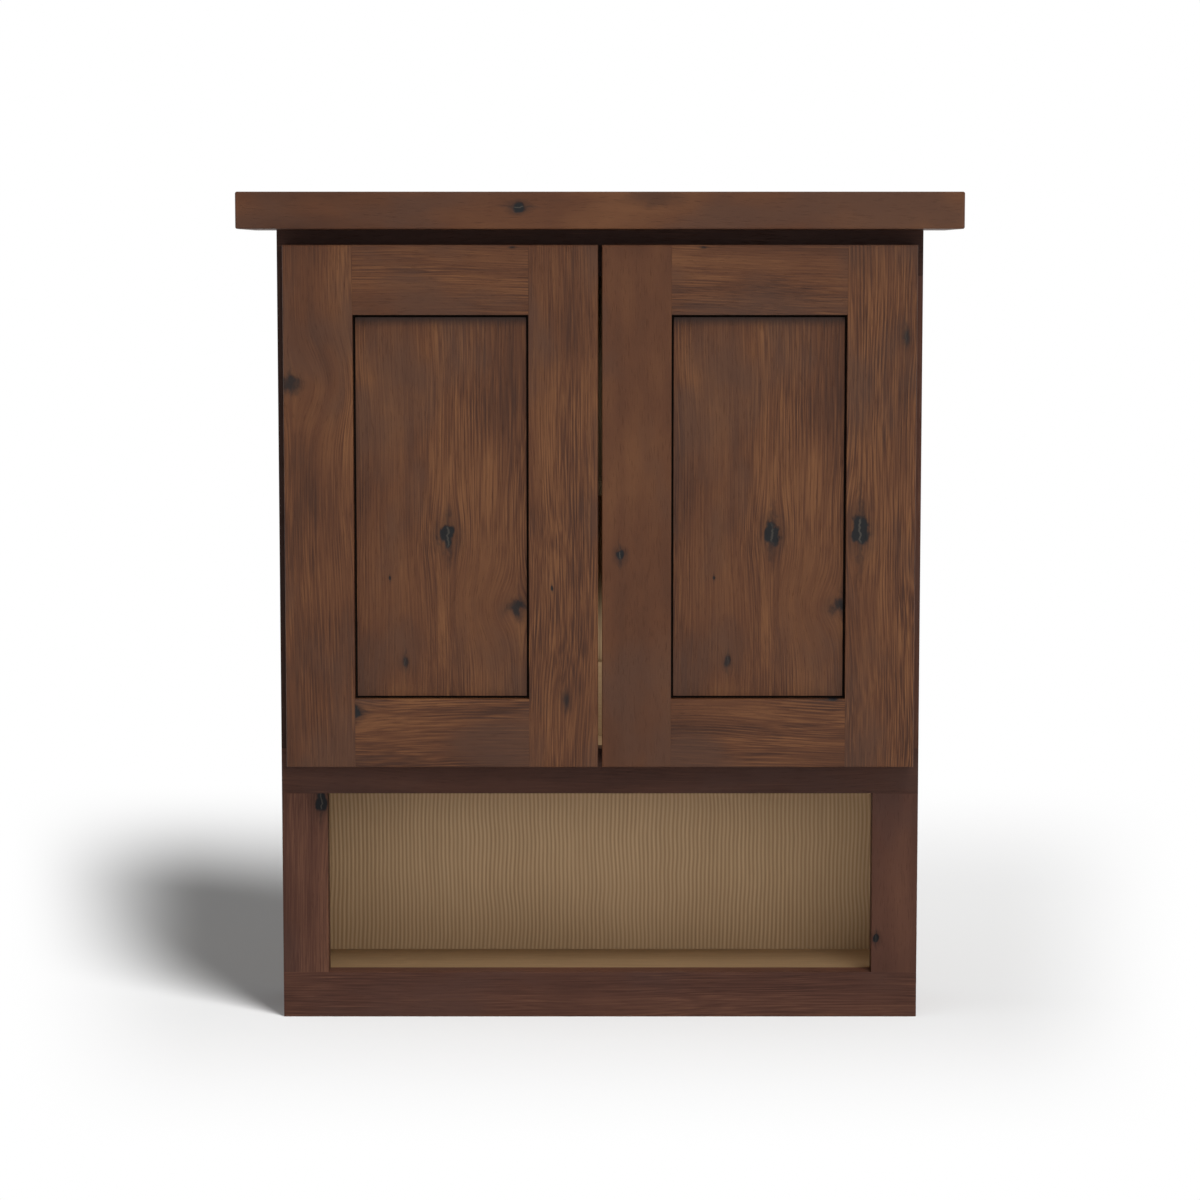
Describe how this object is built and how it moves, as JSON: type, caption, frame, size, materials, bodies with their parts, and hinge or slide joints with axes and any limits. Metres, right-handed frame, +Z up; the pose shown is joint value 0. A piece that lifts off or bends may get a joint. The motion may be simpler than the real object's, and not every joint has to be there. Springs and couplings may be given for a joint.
{
  "type": "bathroom wall cabinet",
  "caption": "Wall-hung bathroom medicine cabinet in dark knotty alder: overhanging top, face frame, two shaker doors on concealed hinges and an open maple-lined cubby below.",
  "frame": {"origin": "on the base plane, under the middle of the overall box", "axes": "+Z up, the doors face -Y, the wall side faces +Y, +X to the right as seen from the front"},
  "size_m": [0.5906, 0.1516, 0.6904],
  "materials": {
    "stained_alder": "dark brown stain, satin lacquer",
    "maple": "clear satin lacquer",
    "hinge_steel": "nickel plated",
    "screw_steel": "zinc plated",
    "bumper": "clear soft polyurethane"
  },
  "bodies": {
    "cabinet": {"top_slab": "stained_alder", "left_side_panel": "stained_alder", "right_side_panel": "stained_alder", "carcass_top": "maple", "divider_deck": "maple", "cubby_floor": "maple", "back_panel": "maple", "lower_hanging_rail": "maple", "upper_hanging_rail": "maple", "adjustable_shelf": "maple", "shelf_pins": "screw_steel", "slab_screws": "screw_steel", "frame_bottom_rail": "stained_alder", "frame_mid_rail": "stained_alder", "frame_top_rail": "stained_alder", "frame_lower_left_stile": "stained_alder", "frame_lower_right_stile": "stained_alder", "frame_upper_left_stile": "stained_alder", "frame_upper_right_stile": "stained_alder", "left_hinge_arm_lower": "hinge_steel", "left_hinge_arm_upper": "hinge_steel", "right_hinge_arm_lower": "hinge_steel", "right_hinge_arm_upper": "hinge_steel", "hinge_arm_screws": "screw_steel"},
    "left_door": {"left_door_hinge_stile": "stained_alder", "left_door_meeting_stile": "stained_alder", "left_door_bottom_rail": "stained_alder", "left_door_top_rail": "stained_alder", "left_door_panel": "stained_alder", "left_hinge_cup_lower": "hinge_steel", "left_hinge_cup_upper": "hinge_steel", "left_hinge_pins": "hinge_steel", "left_cup_screws": "screw_steel", "left_door_bumpers": "bumper"},
    "right_door": {"right_door_hinge_stile": "stained_alder", "right_door_meeting_stile": "stained_alder", "right_door_bottom_rail": "stained_alder", "right_door_top_rail": "stained_alder", "right_door_panel": "stained_alder", "right_hinge_cup_lower": "hinge_steel", "right_hinge_cup_upper": "hinge_steel", "right_hinge_pins": "hinge_steel", "right_cup_screws": "screw_steel", "right_door_bumpers": "bumper"}
  },
  "joints": [
    {"name": "left_door_hinge", "type": "hinge", "parent": "cabinet", "child": "left_door", "pos_m": [-0.25425, -0.03669, 0.4318], "axis": [0, 0, -1], "range_deg": [0, 105], "stiffness_Nm_per_rad": 0.12, "springref_deg": -28.65},
    {"name": "right_door_hinge", "type": "hinge", "parent": "cabinet", "child": "right_door", "pos_m": [0.25425, -0.03669, 0.4318], "axis": [0, 0, 1], "range_deg": [0, 105], "stiffness_Nm_per_rad": 0.12, "springref_deg": -28.65}
  ]
}
